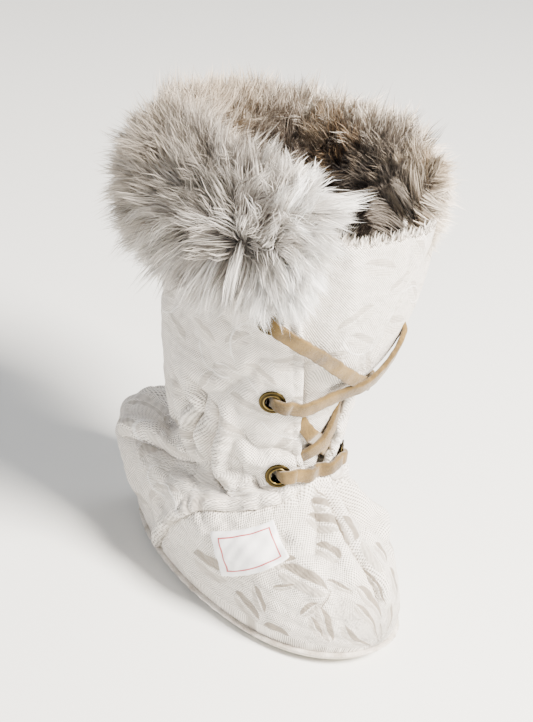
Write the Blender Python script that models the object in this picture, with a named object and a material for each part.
# Baby mukluk boot: soft sole, hollow woven upper, free tongue, fur cuff, eyelets and flat suede lace.
# X runs from heel to toe, minus Y is the outer side of the foot, Z is up, and the sole rests on Z = 0.

import math

import bpy
import numpy as np

# Driving dimensions, in metres
SOLE_LENGTH = 0.104
BALL_WIDTH = 0.056
COLLAR_HEIGHT = 0.124
SOLE_THICKNESS = 0.003
GAP = 0.0003
WALL = 0.0022
TOE_SPRING = 0.0025
ARCH_RISE = 0.0008
INNER_CURVE = 0.0008
INSOLE_THICKNESS = 0.0025
TONGUE_THICKNESS = 0.0020
LACE_WIDTH = 0.0036
LACE_THICKNESS = 0.0014
TAB_THICKNESS = 0.0007
CUFF_OUTER = 0.0065
CUFF_INNER = 0.0030
LOCK_LENGTH = 0.0118
HIDE = 0.0009
HIDE_GAP = 0.0005
EYELET_SETBACK = 0.0085
EYELET_BARREL = 0.0026
SEAM_STEP = 0.0006
BACK_SEAM = 0.0008
DEPTH_LIMIT = 0.0001

# One row per ring of the upper. Positions along X and half widths are shares of the sole length and the
# ball width, heights are shares of the collar height, and edge is the angle in degrees from the front
# at which the vamp ends and the quarter begins.
RING_COLUMNS = ("name", "back_x", "back_z", "front_x", "front_z", "half_width", "widest", "squareness", "edge")
RINGS = [
    ("feather", 0.012, 0.0266, 0.986, 0.0266, 0.450, 0.560, 2.04, 120),
    ("side", -0.014, 0.065, 0.992, 0.060, 0.474, 0.555, 2.04, 115),
    ("toe_bulge", -0.044, 0.112, 0.978, 0.105, 0.482, 0.550, 2.06, 108),
    ("toe_top", -0.078, 0.161, 0.942, 0.165, 0.496, 0.550, 2.10, 99),
    ("vamp_low", -0.106, 0.216, 0.892, 0.216, 0.502, 0.540, 2.10, 88),
    ("heel_fold", -0.088, 0.266, 0.815, 0.257, 0.468, 0.530, 2.10, 74),
    ("ankle_pinch", 0.030, 0.293, 0.733, 0.300, 0.405, 0.520, 2.10, 47),
    ("throat_base", 0.130, 0.318, 0.675, 0.347, 0.375, 0.500, 2.10, 12),
    ("ankle_top", 0.122, 0.374, 0.670, 0.419, 0.402, 0.500, 2.10, 15),
    ("shaft_low", 0.095, 0.468, 0.680, 0.508, 0.438, 0.500, 2.10, 20),
    ("shaft_mid", 0.080, 0.581, 0.700, 0.613, 0.473, 0.500, 2.10, 25),
    ("shaft_high", 0.074, 0.694, 0.725, 0.718, 0.500, 0.500, 2.10, 31),
    ("cuff_edge", 0.070, 0.798, 0.740, 0.815, 0.509, 0.500, 2.10, 37),
    ("collar", 0.070, 0.994, 0.755, 1.006, 0.509, 0.500, 2.10, 44),
]

# Side of the sole from the floor up: how far each step stands outside the feather line, and its height,
# both in shares of the sole's thickness.
SOLE_SIDE_COLUMNS = ("name", "out", "height")
SOLE_SIDE = [
    ("base", -0.867, 0.000),
    ("roll", -0.267, 0.133),
    ("wall", 0.033, 0.367),
    ("groove", 0.033, 0.500),
    ("rim_low", 0.400, 0.600),
    ("rim_high", 0.400, 0.933),
    ("top", 0.133, 1.000),
]

# Tongue, one row per height: ring number, near and far edge as degrees from the front, and how far the
# middle surface stands from the outer face of the shaft at the near edge and at the far edge, in shares of
# the wall.
TONGUE_COLUMNS = ("name", "ring", "near", "far", "near_off", "far_off")
TONGUE = [
    ("sewn", 6.30, -17, 17, -1.76, -1.76),
    ("base", 7.00, -19, 19, -1.76, -1.76),
    ("low", 7.60, -20, 19, -1.76, -1.76),
    ("ankle", 8.40, -24, 18, -1.76, -1.76),
    ("mid", 9.10, -28, 17, -1.76, -1.67),
    ("slip", 9.65, -31, 18, -1.76, -0.70),
    ("rise", 10.05, -33, 21, -1.76, 0.55),
    ("out", 10.45, -35, 31, -1.76, 1.32),
    ("lean", 11.20, -40, 42, -1.76, 2.23),
    ("spread", 12.00, -45, 50, -1.76, 3.05),
    ("high", 12.45, -48, 54, -1.76, 3.59),
    ("top", 12.78, -50, 56, -1.76, 3.95),
]

# Fur cuff, a saddle over the collar. For each station: height of the fur side in shares of the collar's
# height, its thickness in shares of the outer and of the inner thickness, height of the wall side, its
# distance from the outer face in shares of the wall, and the way its locks point, down or up and outward.
CUFF_COLUMNS = ("name", "fur_z", "fur_outer", "fur_inner", "wall_z", "wall_off", "lock_down", "lock_out")
CUFF = [
    ("hem", -0.1500, 0.40, 0.0, -0.1400, 0.205, -0.85, 0.60),
    ("low", -0.1200, 0.90, 0.0, -0.1140, 0.205, -0.75, 0.72),
    ("mid", -0.0800, 1.00, 0.0, -0.0800, 0.205, -0.45, 0.88),
    ("high", -0.0380, 1.00, 0.0, -0.0380, 0.205, -0.10, 0.97),
    ("shoulder", 0.0081, 0.95, 0.0, 0.0016, 0.205, 0.45, 0.85),
    ("crown_out", 0.0484, 0.60, 0.0, 0.0040, -0.091, 0.88, 0.50),
    ("crown", 0.0661, 0.0, 0.00, 0.0040, -0.500, 1.00, 0.12),
    ("crown_in", 0.0500, 0.0, 0.55, 0.0040, -0.909, 0.92, -0.25),
    ("inside", 0.0081, 0.0, 1.00, 0.0016, -1.205, 0.65, -0.22),
    ("tuck", -0.0403, 0.0, 1.00, -0.0363, -1.205, 0.0, 0.0),
    ("tuck_end", -0.0645, 0.0, 0.60, -0.0605, -1.205, 0.0, 0.0),
]

# Eyelets: height share of the collar, near and far side alike. The profile is in shares of the barrel's
# radius. Heights above zero are counted from the outer face of the wall, those below from its inner face.
EYELET_ROWS = [("low", 0.375), ("mid", 0.578), ("top", 0.782)]
EYELET_PROFILE_COLUMNS = ("name", "radius", "height")
EYELET_PROFILE = [
    ("bore_top", 0.83, 0.23),
    ("roll", 0.98, 0.40),
    ("flange", 1.27, 0.40),
    ("edge", 1.44, 0.23),
    ("under", 1.42, 0.14),
    ("barrel_top", 1.00, 0.14),
    ("barrel_low", 1.00, -0.14),
    ("back_edge", 1.23, -0.14),
    ("back_low", 1.21, -0.29),
    ("bore_low", 0.83, -0.29),
]

# Flat lace, one row per point: strip name, ring number, degrees from the front, and how far it is lifted
# above what it rests on, in shares of its thickness. The band that crosses over is lifted at the crossing.
LACE_COLUMNS = ("strip", "ring", "angle", "rise")
LACES = [
    ("bar", 7.51, -22.0, 0.43),
    ("bar", 7.46, -16.0, 0.43),
    ("bar", 7.38, -8.0, 0.43),
    ("bar", 7.36, 0.0, 0.43),
    ("bar", 7.38, 8.0, 0.43),
    ("bar", 7.46, 16.0, 0.43),
    ("bar", 7.51, 22.0, 0.43),
    ("low_over", 7.95, -9.0, 0.00),
    ("low_over", 8.12, -4.5, 0.57),
    ("low_over", 8.28, 0.0, 0.86),
    ("low_over", 8.48, 6.0, 0.57),
    ("low_over", 8.72, 12.0, 0.00),
    ("low_under", 7.95, 9.0, 0.00),
    ("low_under", 8.12, 4.5, 0.00),
    ("low_under", 8.28, 0.0, 0.00),
    ("low_under", 8.48, -6.0, 0.00),
    ("low_under", 8.74, -13.0, 0.00),
    ("top_under", 11.54, -43.0, 0.00),
    ("top_under", 11.20, -31.0, 0.00),
    ("top_under", 10.80, -18.0, 0.00),
    ("top_under", 10.40, -4.0, 0.00),
    ("top_under", 10.08, 8.0, 0.00),
    ("top_under", 9.90, 18.0, 0.00),
    ("top_under", 9.80, 26.0, 0.00),
    ("top_under", 9.74, 32.0, 0.00),
    ("top_over", 9.62, -32.0, 0.00),
    ("top_over", 9.54, -24.0, 0.00),
    ("top_over", 9.62, -12.0, 0.00),
    ("top_over", 9.82, 0.0, 0.36),
    ("top_over", 10.06, 9.0, 0.86),
    ("top_over", 10.36, 20.0, 0.36),
    ("top_over", 10.70, 30.0, 0.00),
    ("top_over", 10.98, 37.0, 0.00),
]

# Side tab: ring number and degrees from the front of its corners
TAB_COLUMNS = ("corner", "ring", "angle")
TAB = [
    ("top_back", 4.16, -75.2),
    ("top_front", 5.61, -41.3),
    ("low_front", 4.37, -39.1),
    ("low_back", 2.46, -77.0),
]

# Colours of the materials, sRGB
MATERIALS = {
    "woven_cloth": ((0.94, 0.92, 0.88), 0.85, 0.0),
    "suede_sole": ((0.90, 0.87, 0.81), 0.90, 0.0),
    "fleece_lining": ((0.93, 0.91, 0.87), 0.95, 0.0),
    "fur": ((0.78, 0.74, 0.70), 0.95, 0.0),
    "antique_brass": ((0.42, 0.34, 0.22), 0.35, 1.0),
    "suede_lace": ((0.70, 0.58, 0.45), 0.90, 0.0),
    "satin_tab": ((0.96, 0.96, 0.96), 0.45, 0.0),
}

NAMES = [row[0] for row in RINGS]
TABLE = np.array([row[1:] for row in RINGS], float)
LAST_RING = len(RINGS) - 1
THROAT_RING = NAMES.index("throat_base")


def smooth_column(ring, column):
    """Smooth curve through one column of the ring table, at ring number ring."""
    values = TABLE[:, column]
    place = np.clip(np.asarray(ring, float), 0, LAST_RING)
    i = np.minimum(place.astype(int), LAST_RING - 1)
    u = place - i
    a = values[np.maximum(i - 1, 0)]
    b = values[i]
    c = values[i + 1]
    d = values[np.minimum(i + 2, LAST_RING)]
    return b + 0.5 * u * (c - a + u * (2 * a - 5 * b + 4 * c - d + u * (3 * (b - c) + d - a)))


def spring(x):
    """Lift of the toe at x."""
    s = np.clip((x / SOLE_LENGTH + 0.5 - 0.72) / 0.28, 0, 1.1)
    return TOE_SPRING * s * s


def edge_angle(ring):
    """Angle from the front, in radians, where the vamp ends below the throat and the flap above it."""
    return np.radians(smooth_column(ring, 7))


def skin(ring, angle):
    """Outer face of the upper: angle 0 is the front, minus is the near side, pi is the back."""
    ring, angle = np.broadcast_arrays(np.asarray(ring, float), np.asarray(angle, float))
    power = 2.0 / smooth_column(ring, 6)
    c = np.sign(np.cos(angle)) * np.abs(np.cos(angle)) ** power
    s = np.sign(np.sin(angle)) * np.abs(np.sin(angle)) ** power
    t = 0.5 + 0.5 * c
    t = t + (smooth_column(ring, 5) - 0.5) * 4 * t * (1 - t)
    back_x, front_x = smooth_column(ring, 0), smooth_column(ring, 2)
    back_z, front_z = smooth_column(ring, 1), smooth_column(ring, 3)
    x = SOLE_LENGTH * (back_x + (front_x - back_x) * t - 0.5)
    z = COLLAR_HEIGHT * (back_z + (front_z - back_z) * t)
    y = BALL_WIDTH * smooth_column(ring, 4) * s
    low = np.clip(1 - ring / 4.5, 0, 1)
    z = z + spring(x) * low
    y = y + INNER_CURVE * (2 * x / SOLE_LENGTH) ** 2 * low
    return np.stack([x, y, z], -1)


def unit(vectors):
    """Vectors brought to length one."""
    return vectors / np.maximum(np.linalg.norm(vectors, axis=-1, keepdims=True), 1e-12)


def skin_normal(ring, angle):
    """Outward normal of the outer face, from small steps along both directions."""
    ring, angle = np.broadcast_arrays(np.asarray(ring, float), np.asarray(angle, float))
    up = skin(np.minimum(ring + 0.03, LAST_RING), angle) - skin(np.maximum(ring - 0.03, 0), angle)
    along = skin(ring, angle + 0.02) - skin(ring, angle - 0.02)
    normal = unit(np.cross(along, up))
    flat = unit(normal * np.array([1.0, 1.0, 0.0]))
    return np.where((ring < 0.02)[..., None], flat, normal)


def off_skin(ring, angle, off):
    """Point at distance off from the outer face. Above the collar it goes straight up."""
    ring, angle, off = np.broadcast_arrays(np.asarray(ring, float), np.asarray(angle, float), np.asarray(off, float))
    inside = np.minimum(ring, LAST_RING)
    return skin(inside, angle) + skin_normal(inside, angle) * off[..., None]


def material(name):
    """Principled material of the given name, made once."""
    found = bpy.data.materials.get(name)
    if found is not None:
        return found
    colour, roughness, metallic = MATERIALS[name]
    mat = bpy.data.materials.new(name)
    mat.use_nodes = True
    shader = mat.node_tree.nodes["Principled BSDF"]
    linear = [((c + 0.055) / 1.055) ** 2.4 for c in colour]
    shader.inputs["Base Color"].default_value = (linear[0], linear[1], linear[2], 1.0)
    shader.inputs["Roughness"].default_value = roughness
    shader.inputs["Metallic"].default_value = metallic
    return mat


def add_object(name, points, faces, mat, crease=40):
    """Mesh object from points and faces, with its normals turned outward."""
    import bmesh
    mesh = bpy.data.meshes.new(name)
    mesh.from_pydata([tuple(p) for p in points], [], faces)
    work = bmesh.new()
    work.from_mesh(mesh)
    bmesh.ops.remove_doubles(work, verts=work.verts, dist=0.000002)
    bmesh.ops.dissolve_degenerate(work, edges=work.edges, dist=0.000001)
    bmesh.ops.triangulate(work, faces=work.faces)
    bmesh.ops.recalc_face_normals(work, faces=work.faces)
    volume = work.calc_volume(signed=True)
    if volume < 0:
        bmesh.ops.reverse_faces(work, faces=work.faces)
    work.to_mesh(mesh)
    work.free()
    item = bpy.data.objects.new(name, mesh)
    bpy.context.scene.collection.objects.link(item)
    mesh.materials.append(material(mat))
    mesh.shade_smooth()
    mesh.set_sharp_from_angle(angle=math.radians(crease))
    return item


def thick_sheet(outer, inner, keep=None, wrap=False):
    """Closed solid between two grids of points. Cells that keep marks false are left open."""
    rows, columns = outer.shape[:2]
    cells = columns if wrap else columns - 1
    if keep is None:
        keep = np.ones((rows - 1, cells), bool)
    count = rows * columns
    points = np.concatenate([outer.reshape(-1, 3), inner.reshape(-1, 3)])
    faces = []
    border = {}
    for j in range(rows - 1):
        for i in range(cells):
            if not keep[j, i]:
                continue
            right = (i + 1) % columns
            loop = [j * columns + i, j * columns + right, (j + 1) * columns + right, (j + 1) * columns + i]
            faces.append(loop)
            faces.append([count + k for k in reversed(loop)])
            for a, b in zip(loop, loop[1:] + loop[:1]):
                if (b, a) in border:
                    del border[(b, a)]
                else:
                    border[(a, b)] = True
    for a, b in border:
        faces.append([b, a, count + a, count + b])
    return points, faces


def ladder(ring_start, ring_count, across, points, height):
    """Cap over a closed outline whose first point is the front, with rungs from side to side."""
    half = ring_count // 2
    faces = []
    rungs = []
    for i in range(1, half):
        far = points[ring_start + i]
        near = points[ring_start + ring_count - i]
        row = [ring_start + i]
        for k in range(1, across):
            share = k / across
            p = far + (near - far) * share
            points.append(np.array([p[0], p[1], height(p[0], p[1])]))
            row.append(len(points) - 1)
        row.append(ring_start + ring_count - i)
        rungs.append(row)
    for first, second in zip(rungs, rungs[1:]):
        for k in range(across):
            faces.append([first[k], first[k + 1], second[k + 1], second[k]])
    for k in range(across):
        faces.append([ring_start, rungs[0][k + 1], rungs[0][k]])
        faces.append([ring_start + half, rungs[-1][k], rungs[-1][k + 1]])
    return faces


def feather_line(out, count):
    """Closed outline of the foot, standing out from the feather line by out."""
    angle = np.arange(count) * 2 * math.pi / count
    return off_skin(0.0, angle, out)


def underside(x, y):
    """Height of the walking face: flat at heel and ball, lifted a little at the arch and the toe."""
    share = x / SOLE_LENGTH + 0.5
    hump = np.cos(np.clip((share - 0.34) / 0.09, -1, 1) * math.pi / 2) ** 2
    arch = ARCH_RISE * hump * np.clip((y / BALL_WIDTH + 0.25) / 0.6, 0, 1)
    return arch + spring(x)


def build_sole():
    count = 48
    points = []
    faces = []
    for name, out_share, height_share in SOLE_SIDE:
        height = height_share * SOLE_THICKNESS
        line = feather_line(out_share * SOLE_THICKNESS, count)
        arch = underside(line[:, 0], line[:, 1]) - spring(line[:, 0])
        share = max(0.0, 1 - 2 * height_share)
        line[:, 2] = height + spring(line[:, 0]) + arch * share
        points.extend(line)
    for j in range(len(SOLE_SIDE) - 1):
        for i in range(count):
            k = (i + 1) % count
            faces.append([j * count + i, j * count + k, (j + 1) * count + k, (j + 1) * count + i])
    faces += ladder(0, count, 5, points, underside)
    top = (len(SOLE_SIDE) - 1) * count
    faces += ladder(top, count, 4, points, lambda x, y: SOLE_THICKNESS + spring(x))
    return add_object("sole", points, faces, "suede_sole", 35)


def build_insole():
    count = 40
    low = SOLE_THICKNESS + GAP
    points = []
    faces = []
    steps = [(0.24, 0.0), (0.16, 0.16), (0.16, 0.75), (0.50, 1.0)]
    for inset, share in steps:
        line = feather_line(-(WALL + GAP + inset * INSOLE_THICKNESS), count)
        line[:, 2] = low + spring(line[:, 0]) + share * INSOLE_THICKNESS
        points.extend(line)
    for j in range(len(steps) - 1):
        for i in range(count):
            k = (i + 1) % count
            faces.append([j * count + i, j * count + k, (j + 1) * count + k, (j + 1) * count + i])
    faces += ladder(0, count, 3, points, lambda x, y: low + spring(x))
    crown = 0.2 * INSOLE_THICKNESS
    faces += ladder((len(steps) - 1) * count, count, 4, points,
                    lambda x, y: low + spring(x) + INSOLE_THICKNESS + crown * (2 * abs(y) / BALL_WIDTH) ** 2)
    return add_object("insole", points, faces, "fleece_lining", 40)


def eyelet_place(share, side):
    """Ring number and angle of an eyelet, set back from the flap edge by EYELET_SETBACK."""
    rings = np.linspace(THROAT_RING, LAST_RING, 500)
    edge = skin(rings, side * edge_angle(rings))
    j = int(np.argmin(np.abs(edge[:, 2] - share * COLLAR_HEIGHT)))
    ring = rings[j]
    start = float(edge_angle(ring))
    angles = np.linspace(start, start + 1.0, 400)
    line = skin(ring, side * angles)
    run = np.concatenate([[0], np.cumsum(np.linalg.norm(np.diff(line, axis=0), axis=1))])
    return ring, side * angles[int(np.argmin(np.abs(run - EYELET_SETBACK)))]


def eyelet_frame(share, side):
    """Centre on the outer face, outward axis and two directions across it, square to the wall around."""
    ring, angle = eyelet_place(share, side)
    centre = skin(ring, angle)
    rings, angles = around_eyelet(ring, angle)
    axis = unit(skin_normal(rings, angles).reshape(-1, 3).mean(axis=0))
    across = unit(np.cross(axis, np.array([0.0, 0.0, 1.0])))
    up = np.cross(across, axis)
    return centre, axis, across, up


def around_eyelet(ring, angle):
    """Grid of ring numbers and angles round an eyelet."""
    return np.meshgrid(ring + np.linspace(-0.45, 0.45, 19), angle + np.linspace(-0.19, 0.19, 19), indexing="ij")


def eyelet_profile(share, side):
    """Closed profile whose two flanges stand clear of the curved wall between them."""
    ring, angle = eyelet_place(share, side)
    centre, axis, across, up = eyelet_frame(share, side)
    rings, angles = around_eyelet(ring, angle)
    outer = off_skin(rings, angles, upper_offset(rings, angles)) - centre
    inner = off_skin(rings, angles, -WALL) - centre
    reach_out = np.linalg.norm(outer - (outer @ axis)[..., None] * axis, axis=-1)
    reach_in = np.linalg.norm(inner - (inner @ axis)[..., None] * axis, axis=-1)
    front = float((outer @ axis)[reach_out < 1.62 * EYELET_BARREL].max())
    behind = float((inner @ axis)[reach_in < 1.42 * EYELET_BARREL].min())
    profile = []
    for name, radius, height in EYELET_PROFILE:
        base = front if height > 0 else behind
        profile.append((name, radius * EYELET_BARREL, height * EYELET_BARREL + base))
    return profile


def turned(name, profile, frame, count, mat):
    """Ring turned round the axis of the frame from a closed profile of radius and height."""
    centre, axis, across, up = frame
    angle = np.arange(count) * 2 * math.pi / count
    spoke = np.cos(angle)[:, None] * across + np.sin(angle)[:, None] * up
    points = []
    for label, radius, height in profile:
        points.extend(centre + spoke * radius + axis * height)
    faces = []
    steps = len(profile)
    for j in range(steps):
        n = (j + 1) % steps
        for i in range(count):
            k = (i + 1) % count
            faces.append([j * count + i, j * count + k, n * count + k, n * count + i])
    return add_object(name, points, faces, mat, 40)


def upper_offset(ring, angle):
    """Raised parts of the outer face: the quarter's step at the vamp seam and the seam up the back."""
    edge = edge_angle(ring)
    size = np.abs(angle)
    step = np.clip((size - edge) / 0.02 + 0.5, 0, 1) * np.clip(1.6 - (size - edge) / 0.45, 0, 1)
    step = np.clip(step, 0, 1) * SEAM_STEP * np.clip((THROAT_RING + 0.5 - ring) / 0.5, 0, 1)
    ridge = np.clip((0.12 - (math.pi - size)) / 0.06, 0, 1) * BACK_SEAM
    ridge = ridge * np.clip((12.0 - ring) / 0.4, 0, 1)
    return step + ridge


def build_upper():
    below = np.linspace(0, THROAT_RING, 15)
    above = np.linspace(THROAT_RING, LAST_RING, 14)[1:]
    rings = np.concatenate([below, above])
    vamp, quarter = 7, 11
    share_v = np.linspace(0, 1, vamp + 1)
    share_q = np.linspace(0, 1, quarter + 1)
    grid_angle = []
    for ring in rings:
        edge = float(edge_angle(ring))
        a_v = share_v * (edge - 0.010)
        a_q = edge + 0.010 + share_q * (math.pi - 0.12 - edge - 0.010)
        side = np.concatenate([a_v, a_q, [math.pi - 0.06]])
        grid_angle.append(np.concatenate([side, [math.pi], -side[:0:-1]]))
    angle = np.array(grid_angle)
    ring = np.broadcast_to(rings[:, None], angle.shape)
    outer = off_skin(ring, angle, upper_offset(ring, angle))
    inner = off_skin(ring, angle, -WALL)
    columns = angle.shape[1]
    keep = np.ones((len(rings) - 1, columns), bool)
    throat = len(below) - 1
    for i in range(columns):
        is_vamp = i < vamp + 1 or i >= columns - (vamp + 1)
        if is_vamp:
            keep[throat:, i] = False
    points, faces = thick_sheet(outer, inner, keep, wrap=True)
    upper = add_object("upper", points, faces, "woven_cloth", 35)
    for side_name, side in (("near", -1), ("far", 1)):
        for row_name, share in EYELET_ROWS:
            frame = eyelet_frame(share, side)
            radius = EYELET_BARREL + 1.27 * GAP
            cutter = plug("cut_" + side_name + "_" + row_name, frame, radius, 2.3 * EYELET_BARREL)
            hole = upper.modifiers.new("hole_" + side_name + "_" + row_name, "BOOLEAN")
            hole.object = cutter
            hole.operation = "DIFFERENCE"
            hole.solver = "EXACT"
    return upper


def plug(name, frame, radius, reach):
    """Round cutter along the axis of the frame."""
    centre, axis, across, up = frame
    count = 16
    angle = np.arange(count) * 2 * math.pi / count + 0.1
    spoke = np.cos(angle)[:, None] * across + np.sin(angle)[:, None] * up
    points = list(centre + spoke * radius - axis * reach) + list(centre + spoke * radius + axis * reach)
    faces = [list(range(count)), list(range(count, 2 * count))]
    for i in range(count):
        k = (i + 1) % count
        faces.append([i, k, count + k, count + i])
    cutter = add_object(name, points, faces, "woven_cloth")
    cutter.hide_render = True
    cutter.display_type = "WIRE"
    return cutter


def smooth_through(values, steps):
    """Smooth curve through rows of values, steps points for each space between rows."""
    values = np.asarray(values, float)
    n = len(values) - 1
    place = np.linspace(0, n, n * steps + 1)
    i = np.minimum(place.astype(int), n - 1)
    u = (place - i)[:, None]
    a = values[np.maximum(i - 1, 0)]
    b = values[i]
    c = values[i + 1]
    d = values[np.minimum(i + 2, n)]
    return b + 0.5 * u * (c - a + u * (2 * a - 5 * b + 4 * c - d + u * (3 * (b - c) + d - a)))


def tongue_middle(rows, share):
    """Middle surface of the tongue: rows of the smoothed table against share from near to far edge."""
    ring = rows[:, 0][:, None] + 0 * share[None, :]
    near, far = np.radians(rows[:, 1])[:, None], np.radians(rows[:, 2])[:, None]
    angle = near + (far - near) * share[None, :]
    lean = share[None, :] ** 1.4
    off = rows[:, 3][:, None] + (rows[:, 4] - rows[:, 3])[:, None] * lean
    return ring, angle, off * WALL


def build_tongue():
    rows = smooth_through([row[1:] for row in TONGUE], 2)
    share = np.linspace(0, 1, 11)
    ring, angle, off = tongue_middle(rows, share)
    half = TONGUE_THICKNESS / 2
    middle = off_skin(ring, angle, off)
    down = np.gradient(middle, axis=0)
    side = np.gradient(middle, axis=1)
    normal = unit(np.cross(side, down))
    points, faces = thick_sheet(middle + normal * half, middle - normal * half)
    return add_object("tongue", points, faces, "woven_cloth", 40)


def cuff_angles(count):
    """Angles from the near flap's front edge round the back to the far flap's front edge."""
    edge = float(edge_angle(LAST_RING))
    return np.linspace(-edge, -(2 * math.pi - edge), count)


def cuff_thickness(angle):
    """Share of the outer thickness: thin under the tongue's far corner and rounded at the near end."""
    edge = float(edge_angle(LAST_RING))
    near = np.clip((-angle - edge) / 0.25, 0, 1)
    far = np.clip((2 * math.pi + angle - edge) / 0.75, 0, 1)
    return (0.70 + 0.30 * np.sin(near * math.pi / 2)) * (0.42 + 0.58 * np.sin(far * math.pi / 2) ** 2)


def cuff_tuck(angle):
    """Share of the inner leg's depth: short beside the tongue, full elsewhere."""
    edge = float(edge_angle(LAST_RING))
    from_end = np.minimum(-angle - edge, 2 * math.pi + angle - edge)
    return np.clip((from_end - 0.22) / 0.25, 0, 1)


def collar_point(angle, rise, off):
    """Point at a share of the collar's height above or below its line, and a distance from the outer face."""
    per_ring = TABLE[LAST_RING, 1] - TABLE[LAST_RING - 1, 1]
    ring = LAST_RING + np.minimum(rise, 0) / per_ring
    flat = unit(skin_normal(ring, angle) * np.array([1.0, 1.0, 0.0]))
    point = skin(ring, angle) + flat * off[..., None]
    point[..., 2] += np.maximum(rise, 0) * COLLAR_HEIGHT
    return point


def build_cuff():
    count = 45
    angle = cuff_angles(count)
    thick = cuff_thickness(angle)
    tuck = cuff_tuck(angle)
    outer, inner, lock_dir = [], [], []
    for name, fur_z, fur_out, fur_in, wall_z, wall_off, down, out in CUFF:
        inside = name in ("tuck", "tuck_end")
        fur_rise = np.full(count, fur_z)
        wall_rise = np.full(count, wall_z)
        if inside:
            fur_rise = fur_z * (0.25 + 0.75 * tuck)
            wall_rise = wall_z * (0.25 + 0.75 * tuck)
        if fur_in > 0:
            fur_off = -WALL - HIDE_GAP - CUFF_INNER * fur_in * (0.55 + 0.45 * tuck)
        elif fur_out > 0:
            fur_off = HIDE + CUFF_OUTER * fur_out * thick
        else:
            fur_off = np.full(count, -WALL / 2)
        outer.append(collar_point(angle, fur_rise, fur_off * np.ones(count)))
        inner.append(collar_point(angle, wall_rise, np.full(count, wall_off * WALL)))
    outer, inner = np.array(outer), np.array(inner)
    points, faces = thick_sheet(outer, inner)
    points = [p for p in points]
    quads = []
    rows = len(CUFF)
    wobble = np.random.default_rng(7)
    for face in faces:
        j, i = face[0] // count, face[0] % count
        cell = len(face) == 4 and face == [j * count + i, j * count + i + 1, (j + 1) * count + i + 1, (j + 1) * count + i]
        down, out = (CUFF[j][6], CUFF[j][7]) if j < rows else (0, 0)
        behind_tongue = cell and i > count - 8 and j < 5
        if not cell or j >= rows - 3 or behind_tongue or (down == 0 and out == 0):
            quads.append(face)
            continue
        corners = np.array([points[k] for k in face])
        centre = corners.mean(axis=0)
        away = unit(skin_normal(LAST_RING, (angle[i] + angle[i + 1]) / 2) * np.array([1.0, 1.0, 0.0]))
        jump = wobble.uniform(0.82, 1.12)
        tip = centre + LOCK_LENGTH * jump * (away * out + np.array([0.0, 0.0, down]))
        tip[2] += wobble.uniform(-0.07, 0.07) * LOCK_LENGTH
        points.append(tip)
        k = len(points) - 1
        for a, b in zip(face, face[1:] + face[:1]):
            quads.append([a, b, k])
    return add_object("fur_cuff", points, quads, "fur", 50)


def tongue_face(ring, angle):
    """How far the tongue's outer face stands from the outer face of the upper. Far below it off the tongue."""
    rows = smooth_through([row[1:] for row in TONGUE], 6)
    values = [np.interp(ring, rows[:, 0], rows[:, k]) for k in range(1, 5)]
    near, far, near_off, far_off = values
    share = (np.degrees(angle) - near) / (far - near)
    off = (near_off + (far_off - near_off) * np.clip(share, 0, 1) ** 1.4) * WALL + TONGUE_THICKNESS / 2
    return np.where((share > -0.02) & (share < 1.04), off, -1.0)


def lace_bed(ring, angle):
    """Distance from the outer face of the upper to what a lace lies on at a place."""
    flap = np.where(np.abs(angle) > edge_angle(ring) - 0.03, 0.0, -1.0)
    flap = np.where(ring < THROAT_RING, 0.0, flap)
    return np.maximum(flap, tongue_face(ring, angle))


def widest_of(values, reach):
    """Largest value within reach places, then the mean over the same reach, so it never dips below."""
    n = len(values)
    padded = np.concatenate([np.full(reach, values[0]), values, np.full(reach, values[-1])])
    top = np.array([padded[i:i + 2 * reach + 1].max() for i in range(n)])
    padded = np.concatenate([np.full(reach, top[0]), top, np.full(reach, top[-1])])
    return np.array([padded[i:i + 2 * reach + 1].mean() for i in range(n)])


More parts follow.
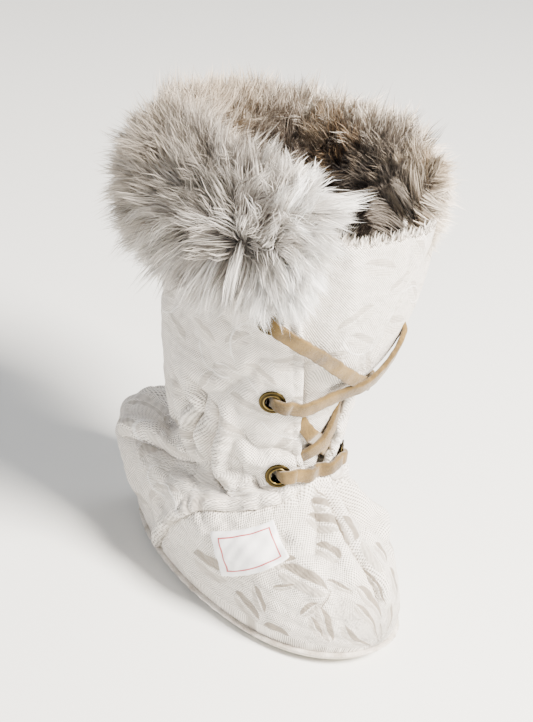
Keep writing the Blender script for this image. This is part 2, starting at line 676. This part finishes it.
def strip(name, rows, width, thickness, steps):
    """Flat band along points given by ring, angle and rise, lying on the flaps and the tongue."""
    fine = 8
    line = smooth_through(rows, steps * fine)
    ring, angle, rise = line[:, 0], np.radians(line[:, 1]), line[:, 2]
    base = skin(ring, angle)
    along = unit(np.gradient(base, axis=0))
    normal = skin_normal(ring, angle)
    side = unit(np.cross(normal, along))
    bed = np.full(len(ring), -SOLE_LENGTH)
    around = skin(ring, angle + 0.01) - base
    upward = skin(ring + 0.01, angle) - base
    for share in (-0.55, -0.25, 0.0, 0.25, 0.55):
        turn = share * width * np.sum(side * around, -1) / np.maximum(np.sum(around * around, -1), 1e-12) * 0.01
        climb = share * width * np.sum(side * upward, -1) / np.maximum(np.sum(upward * upward, -1), 1e-12) * 0.01
        bed = np.maximum(bed, lace_bed(ring + climb, angle + turn))
    bed = widest_of(bed, 3 * fine // 4)
    off = bed + rise * LACE_THICKNESS + 1.5 * GAP + thickness / 2
    pick = np.arange(0, len(ring), fine)
    ring, angle, off = ring[pick], angle[pick], off[pick]
    middle = off_skin(ring, angle, off)
    normal = skin_normal(ring, angle)
    along = unit(np.gradient(middle, axis=0))
    side = unit(np.cross(normal, along))
    normal = np.cross(along, side)
    left, right = middle - side * width / 2, middle + side * width / 2
    low = np.stack([left - normal * thickness / 2, right - normal * thickness / 2], 1)
    high = np.stack([left + normal * thickness / 2, right + normal * thickness / 2], 1)
    points, faces = thick_sheet(high, low)
    return add_object(name, points, faces, "suede_lace", 40)


def lace_rows(name):
    return [row[1:] for row in LACES if row[0] == name]


def joined(name, first, second):
    """Two crossing bands made one solid."""
    other = strip("cut_" + second, lace_rows(second), LACE_WIDTH, LACE_THICKNESS, 3)
    item = strip(name, lace_rows(first), LACE_WIDTH, LACE_THICKNESS, 3)
    join = item.modifiers.new("crossing", "BOOLEAN")
    join.object = other
    join.operation = "UNION"
    join.solver = "EXACT"
    other.hide_render = True
    other.display_type = "WIRE"
    return item


def build_laces():
    strip("lace_bar", lace_rows("bar"), LACE_WIDTH, LACE_THICKNESS, 2)
    joined("lace_cross_low", "low_over", "low_under")
    joined("lace_cross_top", "top_over", "top_under")


def build_tab():
    corner = {row[0]: np.array(row[1:], float) for row in TAB}
    u = np.linspace(0, 1, 6)[None, :, None]
    w = np.linspace(0, 1, 5)[:, None, None]
    top = corner["top_back"] * (1 - u) + corner["top_front"] * u
    low = corner["low_back"] * (1 - u) + corner["low_front"] * u
    place = top * (1 - w) + low * w
    ring, angle = place[..., 0], np.radians(place[..., 1])
    clear = 1.85 * GAP
    face = off_skin(ring, angle, clear + TAB_THICKNESS)
    back = off_skin(ring, angle, clear)
    points, faces = thick_sheet(face, back)
    return add_object("side_tab", points, faces, "satin_tab", 40)


def main():
    for item in list(bpy.data.objects):
        bpy.data.objects.remove(item, do_unlink=True)
    build_sole()
    build_insole()
    build_upper()
    build_tongue()
    build_cuff()
    for side_name, side in (("near", -1), ("far", 1)):
        for row_name, share in EYELET_ROWS:
            turned("eyelet_" + side_name + "_" + row_name, eyelet_profile(share, side), eyelet_frame(share, side),
                   14, "antique_brass")
    build_laces()
    build_tab()


main()
